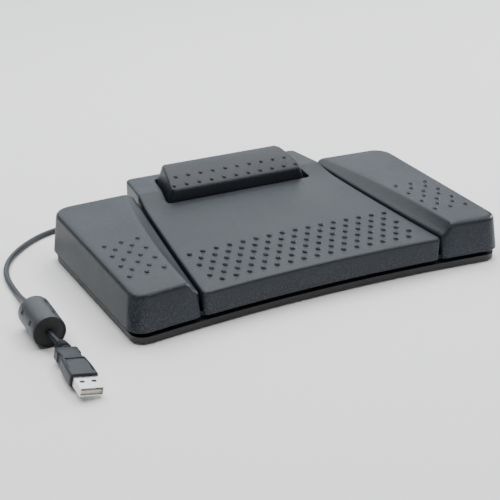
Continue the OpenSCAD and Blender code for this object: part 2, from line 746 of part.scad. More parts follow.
// ---------- lead ----------
module lead_grommet() {
  color(black) translate([lead_x, 0, lead_z]) rotate([-90, 0, 0]) difference() {
    union() {
      translate([0, 0, rear_y - 7.6]) cylinder(h = 1.6, r = 4.6);
      translate([0, 0, rear_y - 6.2]) cylinder(h = 5.2, r = 3.5);
      translate([0, 0, rear_y - 1.2]) cylinder(h = 1.6, r = 4.4);
    }
    translate([0, 0, rear_y - 10]) cylinder(h = 20, r = lead_r);
  }
}

module lead_boot() {
  y0 = rear_y + 0.4;
  color(lead_grey) translate([lead_x, 0, lead_z]) rotate([-90, 0, 0]) difference() {
    rotate_extrude() polygon([[0, 68], [lead_r, 68], [lead_r, y0], [3.3, y0], [3.1, y0 + 3],
      [2.5, y0 + 3.3], [2.5, y0 + 4.3], [3, y0 + 4.6], [2.8, y0 + 7], [2.4, y0 + 7.3],
      [2.4, y0 + 8.3], [2.6, y0 + 8.6], [2.3, y0 + 11.4], [0, y0 + 11.4]]);
  }
}

module lead_to_coil() {
  color(lead_grey) tube(lead_start_route, lead_r, 8);
}

module lead_coil() {
  half = coil_cols * turn_gap / 2;
  color(lead_grey) translate([coil_at[0], coil_at[1], 0])
    rotate_extrude($fn = 72) polygon([[coil_r - half, 0.1], [coil_r + half, 0.1],
      [coil_r + half, coil_rows * turn_gap], [coil_r - half, coil_rows * turn_gap]]);
}

module lead_to_plug() {
  color(lead_grey) tube(lead_route, lead_r, 8);
}

module on_ferrite() {
  translate([ferrite_at[0], ferrite_at[1], ferrite_r]) rotate([0, 0, ferrite_turn])
    rotate([-90, 0, 0]) children();
}

module ferrite_core() {
  color([0.12, 0.12, 0.12]) on_ferrite() difference() {
    translate([0, 0, 2.2]) cylinder(h = ferrite_l - 4.4, r = ferrite_r - 1.8);
    cylinder(h = ferrite_l, r = 2.6);
  }
}

module ferrite_cover() {
  b = 0.9;
  color(lead_grey) on_ferrite() difference() {
    rotate_extrude() polygon([[0, 0], [ferrite_r - b, 0], [ferrite_r - 0.3 * b, 0.3 * b],
      [ferrite_r, b], [ferrite_r, ferrite_l - b], [ferrite_r - 0.3 * b, ferrite_l - 0.3 * b],
      [ferrite_r - b, ferrite_l], [0, ferrite_l]]);
    translate([0, 0, 2.2]) cylinder(h = ferrite_l - 4.4, r = ferrite_r - 1.8);
    translate([0, 0, -1]) cylinder(h = ferrite_l + 2, r = lead_r + 0.3);
  }
}

// plug: x across, y back along the plug, z up, from where the boot begins
module on_plug() {
  translate([plug_at[0], plug_at[1], plug_z]) rotate([0, 0, plug_turn])
    rotate([0, plug_roll, 0]) children();
}

boot_l = 8;
neck_l = 12;
grip_l = 18.6;
body_l = boot_l + neck_l + grip_l;

module plug_boot() {
  color(lead_grey) on_plug() rotate([90, 0, 0]) difference() {
    rotate_extrude() polygon([[0, 0], [3, 0], [3.6, 0.6], [3.6, 1.6], [2.9, 1.8], [2.9, 2.5],
      [3.9, 2.7], [3.9, 3.8], [3.1, 4], [3.1, 4.7], [4.2, 4.9], [4.2, 6.2], [3.3, 6.4],
      [3.3, boot_l], [0, boot_l]]);
    translate([0, 0, -1]) cylinder(h = 5, r = lead_r);
  }
}

module plug_body() {
  h = plug_h / 2;
  color(lead_grey) on_plug() difference() {
    union() {
      // narrow shoulder next to the boot
      translate([0, -boot_l, 0]) rotate([90, 0, 0]) linear_extrude(neck_l) polygon(rounded([
        [-6.3, -h + 0.3, 1.2], [6.3, -h + 0.3, 1.2], [6.3, h - 0.3, 1.2], [-6.3, h - 0.3, 1.2]], 4));
      // flat grip
      translate([0, -boot_l - neck_l + e, 0]) rotate([90, 0, 0]) linear_extrude(grip_l + e)
        polygon(rounded([[-plug_w / 2, -h, 1.2], [plug_w / 2, -h, 1.2], [plug_w / 2, h, 1.2],
          [-plug_w / 2, h, 1.2]], 4));
    }
    // shallow panels on both faces
    for (s = [-1, 1]) translate([0, -boot_l - neck_l - 9, s * h]) cube([10, 15, 0.6], center = true);
    // pocket that the metal shell sits in
    translate([-shell_w / 2, -body_l - 1, -shell_h / 2]) cube([shell_w, 7, shell_h]);
  }
}

module plug_shell() {
  t = 0.35;
  color([0.80, 0.80, 0.78]) on_plug() translate([0, -body_l + 6, 0]) difference() {
    translate([-shell_w / 2, -shell_l - 6, -shell_h / 2]) cube([shell_w, shell_l + 6, shell_h]);
    translate([-shell_w / 2 + t, -shell_l - 7, -shell_h / 2 + t])
      cube([shell_w - 2 * t, shell_l + 6, shell_h - 2 * t]);
    for (s = [-1, 1]) translate([s * 3 - 1.25, -6 - 6.6, -5]) cube([2.5, 2.2, 10]);
  }
}

module plug_tongue() {
  color(bone) on_plug() translate([0, -body_l + 5, 0])
    translate([-shell_w / 2 + 0.4, -shell_l - 3.8, -1.8]) cube([shell_w - 0.8, shell_l + 3.4, 1.9]);
}

module plug_contacts() {
  color([0.85, 0.68, 0.30]) on_plug() for (x = [-3.5, -1, 1, 3.5]) {
    inset = abs(x) > 2 ? 0 : 1;
    translate([x - 0.5, -body_l - shell_l + 2 + inset, 0.1]) cube([1, 8 - inset, 0.25]);
  }
}

base_pan();
rubber_feet();
ballast_plate();
ballast_screws();
bump_stops();
left_pedal();
right_pedal();
centre_pedal();
rear_pedal();
left_pivot_pin();
right_pivot_pin();
centre_pivot_pins();
rear_pivot_pins();
left_spring();
right_spring();
centre_springs();
rear_springs();
left_switch();
right_switch();
centre_switch();
rear_switch();
left_plunger();
right_plunger();
centre_plunger();
rear_plunger();
switch_terminals();
controller_board();
controller_chip();
board_parts();
crystal_can();
board_header();
board_screws();
switch_wires();
inner_lead();
lead_clamp();
clamp_screws();
lead_grommet();
lead_boot();
lead_to_coil();
lead_coil();
lead_to_plug();
ferrite_core();
ferrite_cover();
plug_boot();
plug_body();
plug_shell();
plug_tongue();
plug_contacts();
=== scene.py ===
"""Looks of the four-pedal foot control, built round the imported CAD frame.

Everything below is in millimetres until a mesh or curve is made, which is in metres.
X is to the user's right, Y away from the user and Z up, as in the CAD.
"""
from math import atan2, cos, degrees, hypot, pi, radians, sin, sqrt

import bmesh
import bpy
import numpy as np
from mathutils import Matrix, Vector
from mathutils.geometry import delaunay_2d_cdt


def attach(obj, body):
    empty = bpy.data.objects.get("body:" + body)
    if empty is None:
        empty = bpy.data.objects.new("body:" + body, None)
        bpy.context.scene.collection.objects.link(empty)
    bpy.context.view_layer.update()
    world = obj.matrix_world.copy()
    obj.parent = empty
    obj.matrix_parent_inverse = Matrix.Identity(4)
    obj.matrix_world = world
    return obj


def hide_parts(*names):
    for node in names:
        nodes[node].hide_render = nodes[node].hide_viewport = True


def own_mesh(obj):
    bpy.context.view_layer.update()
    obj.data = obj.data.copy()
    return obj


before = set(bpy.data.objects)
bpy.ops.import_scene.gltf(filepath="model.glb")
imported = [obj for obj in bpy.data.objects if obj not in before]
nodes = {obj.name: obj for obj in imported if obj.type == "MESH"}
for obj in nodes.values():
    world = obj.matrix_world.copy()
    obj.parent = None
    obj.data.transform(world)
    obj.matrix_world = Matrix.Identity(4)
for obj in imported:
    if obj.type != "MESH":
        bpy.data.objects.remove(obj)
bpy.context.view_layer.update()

MM = 0.001


# ---------- camera ----------
def add_camera():
    azimuth, elevation = radians(27.761), radians(24.374)
    data = bpy.data.cameras.new("camera")
    data.lens = 82.8
    data.sensor_width = 36
    camera = bpy.data.objects.new("camera", data)
    camera.location = (-0.31028, -0.56724, 0.29349)
    forward = Vector((sin(azimuth) * cos(elevation), cos(azimuth) * cos(elevation),
                      -sin(elevation)))
    camera.rotation_euler = forward.to_track_quat("-Z", "Y").to_euler()
    bpy.context.scene.collection.objects.link(camera)
    bpy.context.scene.camera = camera


# ---------- materials ----------
FINE_SHARE, BROAD_SHARE = 0.6, 0.4
ROUGH_SPREAD = 0.12
WAVE_BUMP, WAVE_DEPTH = 0.12, 0.0004


def finish_of(name, color, roughness, grain=1500, bump=0.3, depth=0.00006, spread=0.18,
              metallic=0.0, broad=40, specular=0.5, coat=0.0, streak=None, edge=0.0):
    """Procedural material: fine grain and broad unevenness in colour, roughness and relief.

    With edge, painted highlight specks of that many times the colour lie along the convex edges,
    standing in for the sheen of their rounding.
    """
    mat = bpy.data.materials.new(name)
    mat.use_nodes = True
    tree = mat.node_tree
    shader = tree.nodes["Principled BSDF"]
    shader.inputs["Metallic"].default_value = metallic
    shader.inputs["Specular IOR Level"].default_value = specular
    shader.inputs["Coat Weight"].default_value = coat

    def add(kind, **values):
        node = tree.nodes.new(kind)
        for key, value in values.items():
            setattr(node, key, value)
        return node

    def noise(scale, detail):
        node = add("ShaderNodeTexNoise")
        node.inputs["Scale"].default_value = scale
        node.inputs["Detail"].default_value = detail
        tree.links.new(stretch.outputs["Vector"], node.inputs["Vector"])
        return node

    coord = add("ShaderNodeTexCoord")
    stretch = add("ShaderNodeMapping")
    if streak:
        stretch.inputs["Scale"].default_value = streak
    tree.links.new(coord.outputs["Object"], stretch.inputs["Vector"])
    fine = noise(grain, 3)
    soft = noise(broad, 4)
    mixed = add("ShaderNodeMath", operation="MULTIPLY_ADD")
    tree.links.new(fine.outputs["Fac"], mixed.inputs[0])
    mixed.inputs[1].default_value = FINE_SHARE
    part = add("ShaderNodeMath", operation="MULTIPLY")
    tree.links.new(soft.outputs["Fac"], part.inputs[0])
    part.inputs[1].default_value = BROAD_SHARE
    tree.links.new(part.outputs[0], mixed.inputs[2])
    ramp = add("ShaderNodeValToRGB")
    ramp.color_ramp.elements[0].position = 0.3
    ramp.color_ramp.elements[0].color = [c * (1 - spread) for c in color] + [1]
    ramp.color_ramp.elements[1].position = 0.7
    ramp.color_ramp.elements[1].color = [c * (1 + spread) for c in color] + [1]
    tree.links.new(mixed.outputs[0], ramp.inputs["Fac"])
    # painted highlight: where pointiness marks a convex edge, specks of the fine grain are
    # lightened to edge times the colour
    if edge:
        shape = add("ShaderNodeNewGeometry")
        sharp = add("ShaderNodeMapRange")
        sharp.inputs["From Min"].default_value = 0.515
        sharp.inputs["From Max"].default_value = 0.58
        tree.links.new(shape.outputs["Pointiness"], sharp.inputs["Value"])
        speck = add("ShaderNodeMapRange")
        speck.inputs["From Min"].default_value = 0.46
        speck.inputs["From Max"].default_value = 0.62
        tree.links.new(fine.outputs["Fac"], speck.inputs["Value"])
        painted_edge_glint = add("ShaderNodeMath", operation="MULTIPLY")
        tree.links.new(sharp.outputs["Result"], painted_edge_glint.inputs[0])
        tree.links.new(speck.outputs["Result"], painted_edge_glint.inputs[1])
        mix = add("ShaderNodeMix", data_type="RGBA")
        tree.links.new(painted_edge_glint.outputs[0], mix.inputs["Factor"])
        tree.links.new(ramp.outputs["Color"], mix.inputs[6])
        mix.inputs[7].default_value = [c * edge for c in color] + [1]
        tree.links.new(mix.outputs[2], shader.inputs["Base Color"])
    else:
        tree.links.new(ramp.outputs["Color"], shader.inputs["Base Color"])
    rough = add("ShaderNodeMapRange")
    rough.inputs["From Min"].default_value = 0.3
    rough.inputs["From Max"].default_value = 0.7
    rough.inputs["To Min"].default_value = max(roughness - ROUGH_SPREAD, 0.05)
    rough.inputs["To Max"].default_value = roughness + ROUGH_SPREAD
    tree.links.new(mixed.outputs[0], rough.inputs["Value"])
    tree.links.new(rough.outputs["Result"], shader.inputs["Roughness"])
    relief = add("ShaderNodeBump")
    relief.inputs["Strength"].default_value = bump
    relief.inputs["Distance"].default_value = depth
    tree.links.new(fine.outputs["Fac"], relief.inputs["Height"])
    wave = add("ShaderNodeBump")
    wave.inputs["Strength"].default_value = WAVE_BUMP
    wave.inputs["Distance"].default_value = WAVE_DEPTH
    tree.links.new(soft.outputs["Fac"], wave.inputs["Height"])
    tree.links.new(relief.outputs["Normal"], wave.inputs["Normal"])
    tree.links.new(wave.outputs["Normal"], shader.inputs["Normal"])
    return mat


# edge=4.0 paints highlight specks along the convex edges of the pedal caps
PEDAL = finish_of("pedal_spark", (0.013, 0.0168, 0.0225), 0.42, grain=1050, bump=0.75,
                  depth=0.00015, specular=0.31, spread=0.35, broad=30, edge=4.0)
BASE = finish_of("base_moulding", (0.009, 0.010, 0.012), 0.46, grain=1300, bump=0.6, depth=0.0001)
RUBBER = finish_of("black_rubber", (0.022, 0.022, 0.023), 0.75, grain=900, bump=0.4, specular=0.3)
ZINC = finish_of("zinc_plate", (0.60, 0.60, 0.58), 0.34, grain=600, metallic=1.0, spread=0.08,
                 bump=0.2)
SPRING = finish_of("spring_wire", (0.52, 0.52, 0.52), 0.30, grain=900, metallic=1.0, spread=0.08,
                   bump=0.2, streak=(1, 1, 6))
SWITCH = finish_of("switch_moulding", (0.028, 0.028, 0.032), 0.42, grain=1800)
RED = finish_of("plunger_moulding", (0.45, 0.045, 0.04), 0.38, grain=1800, bump=0.15)
TIN = finish_of("tinned_copper", (0.62, 0.56, 0.47), 0.35, grain=1200, metallic=1.0, spread=0.1)
BOARD = finish_of("solder_mask", (0.02, 0.13, 0.06), 0.28, grain=500, bump=0.15, coat=0.3,
                  streak=(3, 1, 1))
CHIP = finish_of("chip_epoxy", (0.02, 0.02, 0.02), 0.55, grain=2500)
BONE = finish_of("bone_moulding", (0.74, 0.72, 0.66), 0.36, grain=1500, spread=0.04, bump=0.15)
WIRE = finish_of("wire_sleeve", (0.36, 0.025, 0.025), 0.36, grain=1500, bump=0.1)
LEAD = finish_of("lead_sheath", (0.016, 0.021, 0.029), 0.42, specular=0.35, grain=1400,
                 bump=0.25, spread=0.12)
CASE = finish_of("ferrite_case", (0.036, 0.041, 0.048), 0.44, specular=0.4, grain=1100, bump=0.4,
                 spread=0.14)
# darker copy of the case plastic for the end faces and bore: painted shade
SHADED_CASE_END = finish_of("ferrite_case_end_painted_shade", (0.007, 0.008, 0.009), 0.55, grain=1100, bump=0.4)
CORE = finish_of("ferrite_core", (0.05, 0.05, 0.053), 0.48, grain=1400, bump=0.5)
PLUG = finish_of("plug_moulding", (0.018, 0.022, 0.028), 0.46, specular=0.35, grain=1500,
                 bump=0.35, spread=0.14)
SHELL = finish_of("plug_nickel", (0.80, 0.79, 0.77), 0.24, grain=700, metallic=1.0, spread=0.06,
                  bump=0.12, streak=(1, 7, 1))
GOLD = finish_of("contact_gold", (0.85, 0.62, 0.26), 0.26, grain=900, metallic=1.0, spread=0.06,
                 bump=0.12)

FINISHES = {
    BASE: ["base_pan"],
    RUBBER: ["rubber_feet", "bump_stops", "lead_grommet", "lead_clamp"],
    ZINC: ["ballast_plate", "ballast_screws", "board_screws", "clamp_screws", "crystal_can",
           "left_pivot_pin", "right_pivot_pin", "centre_pivot_pins", "rear_pivot_pins"],
    SWITCH: ["left_switch", "right_switch", "centre_switch", "rear_switch"],
    RED: ["left_plunger", "right_plunger", "centre_plunger", "rear_plunger"],
    TIN: ["switch_terminals", "board_parts"],
    BOARD: ["controller_board"],
    CHIP: ["controller_chip"],
    BONE: ["board_header", "plug_tongue"],
    WIRE: ["switch_wires"],
    LEAD: ["inner_lead"],
    CORE: ["ferrite_core"],
    SHELL: ["plug_shell"],
    GOLD: ["plug_contacts"],
}


def dress_cad():
    for mat, names in FINISHES.items():
        for name in names:
            obj = nodes[name]
            if not obj.material_slots:
                obj.data.materials.append(mat)
            for place in obj.material_slots:
                place.link = "OBJECT"
                place.material = mat
    for name, width in (("base_pan", 0.5), ("plug_shell", 0.25)):
        soften = nodes[name].modifiers.new("soft_edges", "BEVEL")
        soften.width = width * MM
        soften.segments = 2
        soften.limit_method = "ANGLE"
        soften.angle_limit = radians(50)
        soften.use_clamp_overlap = True


# ---------- plan geometry, close to the CAD's ----------
HALF_W, FRONT_Y, REAR_Y = 120.4, 70, 76.3
SKIRT_Z, RAISED_SKIRT_Z = 7, 11.2
WALL = 2.6
DRAFT = 2.2
SIDE_BACK_Y = 55
RAMP_Y, CREASE_Y, DECK_Z = 28, 47, 32.5
ROW_Y = -27
PITCH = 8.75
SLOT_HALF_W, SLOT_FRONT_Y, SLOT_BACK_Y, SLOT_SKIRT_Z = 50.4, 34.3, 67.4, 21
SLOT_TAPER = 0.16
BOW = 1940
CENTRE_HALF_W, CENTRE_TAPER, SIDE_GAP = 77.4, 0.109, 1.7
SIDE_Z, SIDE_SLOPE = 30.4, 0.029
ROW_Z, ROW_SLOPE, ROW_CURVE = 23.6, 0.0683, 0.00022
REAR_HALF_W, REAR_FRONT_Y, REAR_BACK_Y, REAR_TAPER = 46.2, 37.2, 65.0, 0.17
REAR_Z, REAR_SLOPE, REAR_CURVE = 34.9, 0.54, 0.0088


def bow(x):
    """How far the front edge stands back at x from its middle."""
    return x * x / BOW


def centre_x(y):
    return CENTRE_HALF_W - CENTRE_TAPER * (y + FRONT_Y)


def side_x(y):
    return centre_x(y) + SIDE_GAP


def side_z(y):
    return SIDE_Z + SIDE_SLOPE * y


def plane_z(y):
    return ROW_Z + ROW_SLOPE * (y - ROW_Y) + ROW_CURVE * (y - ROW_Y) ** 2


RAMP_SLOPE = ROW_SLOPE + 2 * ROW_CURVE * (RAMP_Y - ROW_Y)
RAMP_RUN = CREASE_Y - RAMP_Y
RAMP_CURVE = (DECK_Z - plane_z(RAMP_Y) - RAMP_SLOPE * RAMP_RUN) / RAMP_RUN ** 2


def smooth_min(a, b, k):
    h = max(k - abs(a - b), 0) / k
    return min(a, b) - h * h * k / 4


def centre_top(x, y):
    if y <= RAMP_Y:
        return plane_z(y)
    run = y - RAMP_Y
    ramp = plane_z(RAMP_Y) + RAMP_SLOPE * run + RAMP_CURVE * run ** 2
    return smooth_min(ramp, DECK_Z, 0.5)


def crease_x(y):
    t = y + 71
    return 86 - 0.019 * t - 0.00086 * t * t


def side_top(x, y):
    """Top plane of the right pedal, cut by the hollow bevel beside the centre pedal."""
    y_in = min(max(y, -72), 60)
    low, high = side_x(y_in), crease_x(y_in)
    share = (x - low) / (high - low)
    hollow = 0.45 - 0.25 * (y_in + 72) / 132
    low_z = plane_z(y_in) - 0.4
    bevel = low_z + (side_z(y_in) - low_z) * (share + hollow * share * (share - 1))
    return smooth_min(side_z(y), bevel, 0.9)


def rear_top(x, y):
    d = y - REAR_FRONT_Y
    return REAR_Z + REAR_SLOPE * d - REAR_CURVE * d * d


def corner(a, p, b, r, n):
    """Points of the arc of radius r that rounds p between its neighbours."""
    if r <= 0:
        return [p]
    p, u, v = Vector(p), (Vector(a) - Vector(p)).normalized(), (Vector(b) - Vector(p)).normalized()
    half = u.angle(v) / 2
    middle = p + (u + v).normalized() * r / sin(half)
    start = p + u * r * cos(half) / sin(half) - middle
    stop = p + v * r * cos(half) / sin(half) - middle
    turn = atan2(start.x * stop.y - start.y * stop.x, start.dot(stop))
    return [tuple(middle + Matrix.Rotation(turn * i / n, 2) @ start) for i in range(n + 1)]


def rounded(points, n):
    flat = [p[:2] for p in points]
    m = len(points)
    out = []
    for i in range(m):
        out += corner(flat[i - 1], flat[i], flat[(i + 1) % m], points[i][2], n)
    return out


def both_halves(half):
    return half + [(-x, y, r) for x, y, r in reversed(half) if x > 0]


def centre_outline(i):
    half = [(x, -FRONT_Y - bow(x) + i, 0) for x in range(0, 75, 6)]
    half += [(centre_x(-73) - i, -FRONT_Y - bow(CENTRE_HALF_W) + i, 3),
             (centre_x(REAR_Y) - i, REAR_Y - i, 4)]
    return rounded(both_halves(half), 6)


def side_outline(i, gap_in):
    y_end = -FRONT_Y - bow(HALF_W) + i
    front = [(x, -FRONT_Y - bow(x) + i, 0) for x in range(84, 110, 5)]
    y_in = SIDE_BACK_Y + 2.5
    return rounded([(side_x(-73.2) + gap_in, -FRONT_Y - bow(79) + i, 2.5)] + front + [
        (HALF_W - i, y_end, 9 - i / 2), (HALF_W + 1 - i, SIDE_BACK_Y - i, 13 - i / 2),
        (side_x(y_in) + gap_in, y_in - i, 4)], 9)


def slot_outline(grow):
    a = SLOT_HALF_W + grow
    b = a - SLOT_TAPER * (SLOT_BACK_Y - SLOT_FRONT_Y)
    front, back = SLOT_FRONT_Y - grow, SLOT_BACK_Y + grow
    return rounded([(-a, front, 2), (a, front, 2), (b, back, 2), (-b, back, 2)], 6)


def rear_outline(i, lean=0.0):
    """Outline of the rear pedal: its top with lean 0, its flared foot with lean 1."""
    w = REAR_HALF_W + 2.4 * lean - i
    front, back = REAR_FRONT_Y - 0.6 * lean + i, REAR_BACK_Y + 0.6 * lean - i
    w_back = w - 28 * (REAR_TAPER + (SLOT_TAPER - REAR_TAPER) * lean)
    r = 2.6 - i / 2
    return rounded([(-w, front, r), (w, front, r), (w_back, back, r), (-w_back, back, r)], 8)


# ---------- mesh tools ----------
def segment_counts(outline, step):
    n = len(outline)
    return [max(1, round(hypot(outline[(i + 1) % n][0] - outline[i][0],
                               outline[(i + 1) % n][1] - outline[i][1]) / step)) for i in range(n)]


def densify(outline, counts):
    out = []
    for i, count in enumerate(counts):
        a, b = outline[i], outline[(i + 1) % len(outline)]
        out += [(a[0] + (b[0] - a[0]) * k / count, a[1] + (b[1] - a[1]) * k / count)
                for k in range(count)]
    return out


def distance(points, starts, ends):
    """Distance from each point to the nearest of the given segments."""
    p = np.asarray(points, float)[:, None, :]
    a, b = np.asarray(starts, float)[None], np.asarray(ends, float)[None]
    d = b - a
    t = np.clip(((p - a) * d).sum(2) / np.maximum((d * d).sum(2), 1e-12), 0, 1)
    return np.sqrt((((a + t[..., None] * d) - p) ** 2).sum(2)).min(1)


def inside(points, outline):
    x, y = np.asarray(points, float).T
    hit = np.zeros(len(x), bool)
    for (ax, ay), (bx, by) in zip(outline, outline[1:] + outline[:1]):
        if ay != by:
            across = (ay > y) != (by > y)
            hit ^= across & (x < (bx - ax) * (y - ay) / (by - ay) + ax)
    return hit


def fillet(d, r):
    """Drop of a rounded edge of radius r at a distance d inside the outline."""
    return r - sqrt(max(r * r - (r - d) ** 2, 0)) if d < r else 0.0


def ring_of(bm, points, z_of):
    return [bm.verts.new((x * MM, y * MM, z_of(x, y) * MM)) for x, y in points]


def strip(bm, ring_a, ring_b):
    n = len(ring_a)
    for i in range(n):
        j = (i + 1) % n
        bm.faces.new((ring_a[i], ring_a[j], ring_b[j], ring_b[i]))


def sheet_over(bm, rings, hole_rings, lines, spacing, z_of):
    """Triangulated sheet over the first ring less the first hole ring.

    Returns the vertices of the first ring and of the first hole ring.
    """
    points, edges, first = [], [], []
    for ring in rings + hole_rings:
        k, n = len(points), len(ring)
        first.append((k, n))
        points += ring
        edges += [(k + i, k + (i + 1) % n) for i in range(n)]
    for line in lines:
        k = len(points)
        points += line
        edges += [(k + i, k + i + 1) for i in range(len(line) - 1)]
    outer = rings[0]
    hole = hole_rings[0] if hole_rings else None
    low, high = np.min(outer, 0), np.max(outer, 0)
    grid = [(x, y) for j, y in enumerate(np.arange(low[1] + 1, high[1], spacing))
            for x in np.arange(low[0] + (1 + j % 2) * spacing / 2, high[0], spacing)]
    starts = [points[a] for a, _ in edges]
    ends = [points[b] for _, b in edges]
    keep = inside(grid, outer) & (distance(grid, starts, ends) > 0.45 * spacing)
    if hole:
        keep &= ~inside(grid, hole)
    points += [p for p, ok in zip(grid, keep) if ok]
    made, _, faces, origin = delaunay_2d_cdt([Vector(p) for p in points], edges, [], 0, 1e-5)[:4]
    index = {}
    for k, sources in enumerate(origin):
        for source in sources:
            index[source] = k
    middles = [tuple(sum((made[i] for i in face), Vector((0, 0))) / len(face)) for face in faces]
    wanted = inside(middles, outer)
    if hole:
        wanted &= ~inside(middles, hole)
    z = z_of([tuple(v) for v in made])
    verts = [bm.verts.new((v.x * MM, v.y * MM, h * MM)) for v, h in zip(made, z)]
    for face, ok in zip(faces, wanted):
        if ok:
            bm.faces.new([verts[i] for i in face])
    wanted_rings = [first[0]] + ([first[len(rings)]] if hole else [])
    return [[verts[index[k + i]] for i in range(n)] for k, n in wanted_rings]


def segments(outline, chosen=lambda x, y: True):
    pairs = [(a, b) for a, b in zip(outline, outline[1:] + outline[:1])
             if chosen((a[0] + b[0]) / 2, (a[1] + b[1]) / 2)]
    return [a for a, _ in pairs], [b for _, b in pairs]


def drop_over(edge_sets):
    """Depth of the rounded edges below the top, for a list of (segments, radius)."""
    def of(points):
        total = np.zeros(len(points))
        for (starts, ends), r in edge_sets:
            d = distance(points, starts, ends)
            total = np.maximum(total, [fillet(v, r) for v in d])
        return total
    return of


def shell(bm, foot, top_at, low_z, height, drop, radius, lines=(), slot=False, spacing=4.0,
          belt_z=None):
    """Hollow pedal: walls from foot up to the top outline, rounded edges, ceiling inside.

    With belt_z, the walls stand straight up to there and lean in above it.
    """
    counts = segment_counts(foot(0), 1.8)
    steps = [radius * (1 - cos(radians(w))) for w in (0, 18, 36, 54, 72, 90)]
    rings = [densify(top_at(d), counts) for d in steps]
    slot_counts = segment_counts(slot_outline(0), 1.8)
    slot_rings = [densify(slot_outline(d), slot_counts)
                  for d in (0, 0.15, 0.5, 1.0)] if slot else []

    def top_z(points):
        return [height(x, y) - d for (x, y), d in zip(points, drop(points))]

    def ceiling_z(points):
        return [height(x, y) - WALL - d for (x, y), d in zip(points, drop(points))]

    outer = sheet_over(bm, rings, slot_rings, lines, spacing, top_z)
    lip = ring_of(bm, densify(foot(0), counts), lambda x, y: low_z(x, y) + 0.5)
    sole = ring_of(bm, densify(foot(0.45), counts), low_z)
    if belt_z:
        belt = ring_of(bm, densify(foot(0), counts), belt_z)
        strip(bm, outer[0], belt)
        strip(bm, belt, lip)
    else:
        strip(bm, outer[0], lip)
    strip(bm, lip, sole)
    inner_ring = densify(top_at(WALL), counts)
    slot_out = [densify(slot_outline(1.6), slot_counts)] if slot else []
    under = sheet_over(bm, [inner_ring], slot_out, (), 9.0, ceiling_z)
    inner_foot = ring_of(bm, densify(foot(WALL), counts), low_z)
    strip(bm, sole, inner_foot)
    if belt_z:
        inner_belt = ring_of(bm, densify(foot(WALL), counts), belt_z)
        strip(bm, inner_foot, inner_belt)
        strip(bm, inner_belt, under[0])
    else:
        strip(bm, inner_foot, under[0])
    if slot:
        edge = ring_of(bm, slot_rings[0], lambda x, y: SLOT_SKIRT_Z)
        back = ring_of(bm, slot_out[0], lambda x, y: SLOT_SKIRT_Z)
        strip(bm, outer[1], edge)
        strip(bm, edge, back)
        strip(bm, back, under[1])
    loose = [v for v in bm.verts if not v.link_faces]
    bmesh.ops.delete(bm, geom=loose, context="VERTS")


def add_dome(bm, x, y, height, r, h):
    """Raised grip dot, a closed cap that is sunk a little into the top."""
    z = height(x, y)
    tilt = Vector((height(x - 1, y) - height(x + 1, y), height(x, y - 1) - height(x, y + 1), 2))
    turn = Vector((0, 0, 1)).rotation_difference(tilt)
    ball = (r * r + h * h) / (2 * h)
    around = 16

    def put(out, up):
        return [bm.verts.new((Vector((x, y, z)) + turn @ Vector(
            (out * cos(2 * pi * k / around), out * sin(2 * pi * k / around), up))) * MM)
            for k in range(around)]

    rings = [put(r + 0.25, -0.35), put(r + 0.1, 0.0)]
    for t in (0.93, 0.78, 0.56, 0.3):
        rings.append(put(r * t, sqrt(ball ** 2 - (r * t) ** 2) - ball + h + 0.05))
    for a, b in zip(rings, rings[1:]):
        strip(bm, a, b)
    bm.faces.new(rings[-1])
    bm.faces.new(rings[0])


def carry_inside(bm, node, height, starts, ends, margin):
    """Lugs and posts under a pedal, as the CAD has them."""
    mesh = nodes[node].data
    points = [tuple(v.co / MM) for v in mesh.vertices]
    gap = distance([p[:2] for p in points], starts, ends)
    new = {}
    for face in mesh.polygons:
        ids = list(face.vertices)
        deep = any(points[i][2] < height(*points[i][:2]) - WALL - 1.2 for i in ids)
        if deep and all(gap[i] > margin for i in ids):
            for i in ids:
                if i not in new:
                    new[i] = bm.verts.new(mesh.vertices[i].co)
            try:
                bm.faces.new([new[i] for i in ids])
            except ValueError:  # the same face is there twice
                pass


def to_piece(bm, name, mat, body, angle=32, recalc=True):
    """Object from the mesh, with its material or materials and body."""
    if recalc:
        bmesh.ops.recalc_face_normals(bm, faces=bm.faces)
    mesh = bpy.data.meshes.new(name)
    bm.to_mesh(mesh)
    bm.free()
    mesh.polygons.foreach_set("use_smooth", [True] * len(mesh.polygons))
    mesh.set_sharp_from_angle(angle=radians(angle))
    for m in mat if isinstance(mat, list) else [mat]:
        mesh.materials.append(m)
    obj = bpy.data.objects.new(name, mesh)
    bpy.context.scene.collection.objects.link(obj)
    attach(obj, body)
    return obj


# ---------- pedals ----------
def build_centre():
    bm = bmesh.new()
    outline = centre_outline(0)

    def low_z(x, y):
        if abs(x - 40) < 6.4 and y > REAR_Y - 8:  # over the lead
            return 12.6
        along_gap = abs(x) > centre_x(y) - 4 and -70.4 < y < 57
        return RAISED_SKIRT_Z if along_gap else SKIRT_Z

    drop = drop_over([(segments(outline), 1.7), (segments(slot_outline(0)), 1.0)])
    width = [(k / 40 * 2 - 1) for k in range(41)]
    lines = [[(w * (centre_x(RAMP_Y) - 0.6), RAMP_Y) for w in width]]
    for y in (CREASE_Y - 1.2, CREASE_Y, CREASE_Y + 1.2):
        for s in (-1, 1):
            lines.append([(s * (SLOT_HALF_W + 0.4 + t * (centre_x(y) - SLOT_HALF_W - 1.0)), y)
                          for t in (0, 0.25, 0.5, 0.75, 1)])
    shell(bm, centre_outline, centre_outline, low_z, centre_top, drop, 1.7, lines, slot=True)
    for row in range(6):
        columns = 16 - row % 2
        for k in range(columns):
            x = (k - (columns - 1) / 2) * PITCH
            add_dome(bm, x, ROW_Y - 6.62 * row - bow(x), centre_top, 1.7, 1.25)
    bmesh.ops.recalc_face_normals(bm, faces=bm.faces)
    starts, ends = segments(outline)
    more_starts, more_ends = segments(slot_outline(0))
    carry_inside(bm, "centre_pedal", centre_top, starts + more_starts, ends + more_ends, WALL + 0.3)
    piece = to_piece(bm, "centre_pedal_cap", PEDAL, "centre_pedal", recalc=False)
    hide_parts("centre_pedal")


